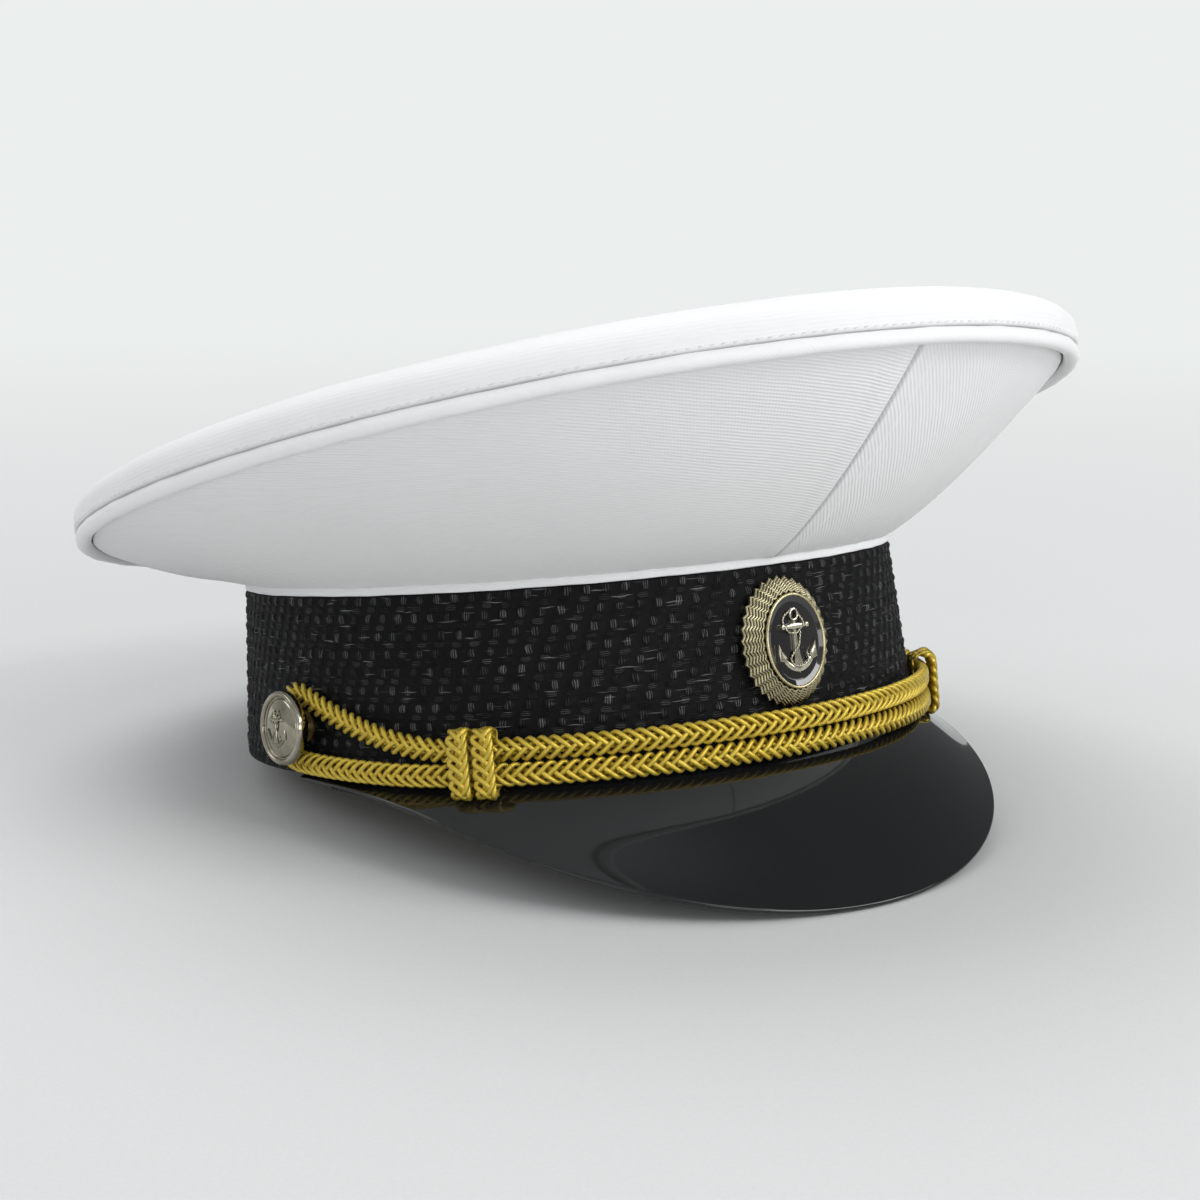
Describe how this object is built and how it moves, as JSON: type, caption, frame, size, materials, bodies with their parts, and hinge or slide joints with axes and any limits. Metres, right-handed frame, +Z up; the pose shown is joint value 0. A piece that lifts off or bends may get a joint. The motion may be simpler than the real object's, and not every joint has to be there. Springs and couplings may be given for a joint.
{
  "type": "military peaked cap",
  "caption": "Naval peaked cap: white cloth crown on a stiffened black band, with a glossy visor, oval cockade, gold chin cord with sliders and side buttons.",
  "frame": {"origin": "centre of the bounding box's base: the plane that the cap stands on, which the visor's tip and the band's rear edge touch", "axes": "-Y towards the front (visor), -X towards the wearer's right, +Z up; the cap rests tipped back by about nine degrees"},
  "size_m": [0.2778, 0.2941, 0.1499],
  "materials": {
    "crown_cloth": "fine white gabardine twill",
    "piping_cloth": "white cloth piping",
    "hem_tape": "white cloth tape",
    "grommet_plastic": "matt white plastic",
    "plated_steel": "plated",
    "stay_plastic": "matt",
    "lining_satin": "satin",
    "shield_film": "clear film",
    "band_weave": "coarse black weave",
    "fibreboard": "pressed fibre",
    "sweat_leather": "brown sheepskin",
    "reed_cloth": "covered reed",
    "eyelet_brass": "plain",
    "visor_gloss": "patent gloss",
    "visor_under": "embossed leathercloth",
    "badge_gold": "pale gold plate",
    "badge_enamel": "black enamel",
    "badge_silver": "polished",
    "cord_gold": "gold wire braid",
    "button_nickel": "polished nickel"
  },
  "bodies": {
    "cap": {"crown_top_panel": "crown_cloth", "crown_right_panel": "crown_cloth", "crown_left_panel": "crown_cloth", "crown_rear_panel": "crown_cloth", "crown_piping": "piping_cloth", "crown_hem_tape": "hem_tape", "crown_grommet": "grommet_plastic", "grommet_joiner": "plated_steel", "crown_front_stay": "stay_plastic", "crown_lining": "lining_satin", "lining_sweat_shield": "shield_film", "band_cover": "band_weave", "band_stiffener": "fibreboard", "sweatband": "sweat_leather", "sweatband_reed": "reed_cloth", "eyelet_right": "eyelet_brass", "eyelet_left": "eyelet_brass", "visor_shell": "visor_gloss", "visor_lining": "visor_under", "badge_backplate": "badge_gold", "badge_starburst": "badge_gold", "badge_bezel": "badge_gold", "badge_enamel": "badge_enamel", "badge_anchor": "badge_silver", "badge_anchor_rope": "badge_silver", "badge_stud": "eyelet_brass", "badge_washer": "eyelet_brass", "badge_nut": "eyelet_brass", "chin_cord_upper": "cord_gold", "chin_cord_lower": "cord_gold", "cord_loop_right": "cord_gold", "cord_loop_left": "cord_gold"},
    "slider_right": {"slider_right_front_wrap": "cord_gold", "slider_right_rear_wrap": "cord_gold"},
    "slider_left": {"slider_left_front_wrap": "cord_gold", "slider_left_rear_wrap": "cord_gold"},
    "button_right": {"button_right_face": "button_nickel", "button_right_emblem": "button_nickel", "button_right_back": "button_nickel", "button_right_shank": "plated_steel", "button_right_washer": "plated_steel", "button_right_split_pin": "plated_steel"},
    "button_left": {"button_left_face": "button_nickel", "button_left_emblem": "button_nickel", "button_left_back": "button_nickel", "button_left_shank": "plated_steel", "button_left_washer": "plated_steel", "button_left_split_pin": "plated_steel"}
  },
  "joints": [
    {"name": "slider_right_travel", "type": "hinge", "parent": "cap", "child": "slider_right", "pos_m": [0, -0.0154, 0.01717], "axis": [0, 0.1527, 0.9883], "range_deg": [0, 43.5]},
    {"name": "slider_left_travel", "type": "hinge", "parent": "cap", "child": "slider_left", "pos_m": [0, -0.0154, 0.01717], "axis": [0, 0.1527, 0.9883], "range_deg": [-43.5, 0]},
    {"name": "button_right_turn", "type": "hinge", "parent": "cap", "child": "button_right", "pos_m": [-0.09274, -0.01284, 0.02993], "axis": [-0.9931, -0.0738, 0.0912], "continuous": true},
    {"name": "button_left_turn", "type": "hinge", "parent": "cap", "child": "button_left", "pos_m": [0.09274, -0.01284, 0.02993], "axis": [0.9931, -0.0738, 0.0912], "continuous": true}
  ]
}
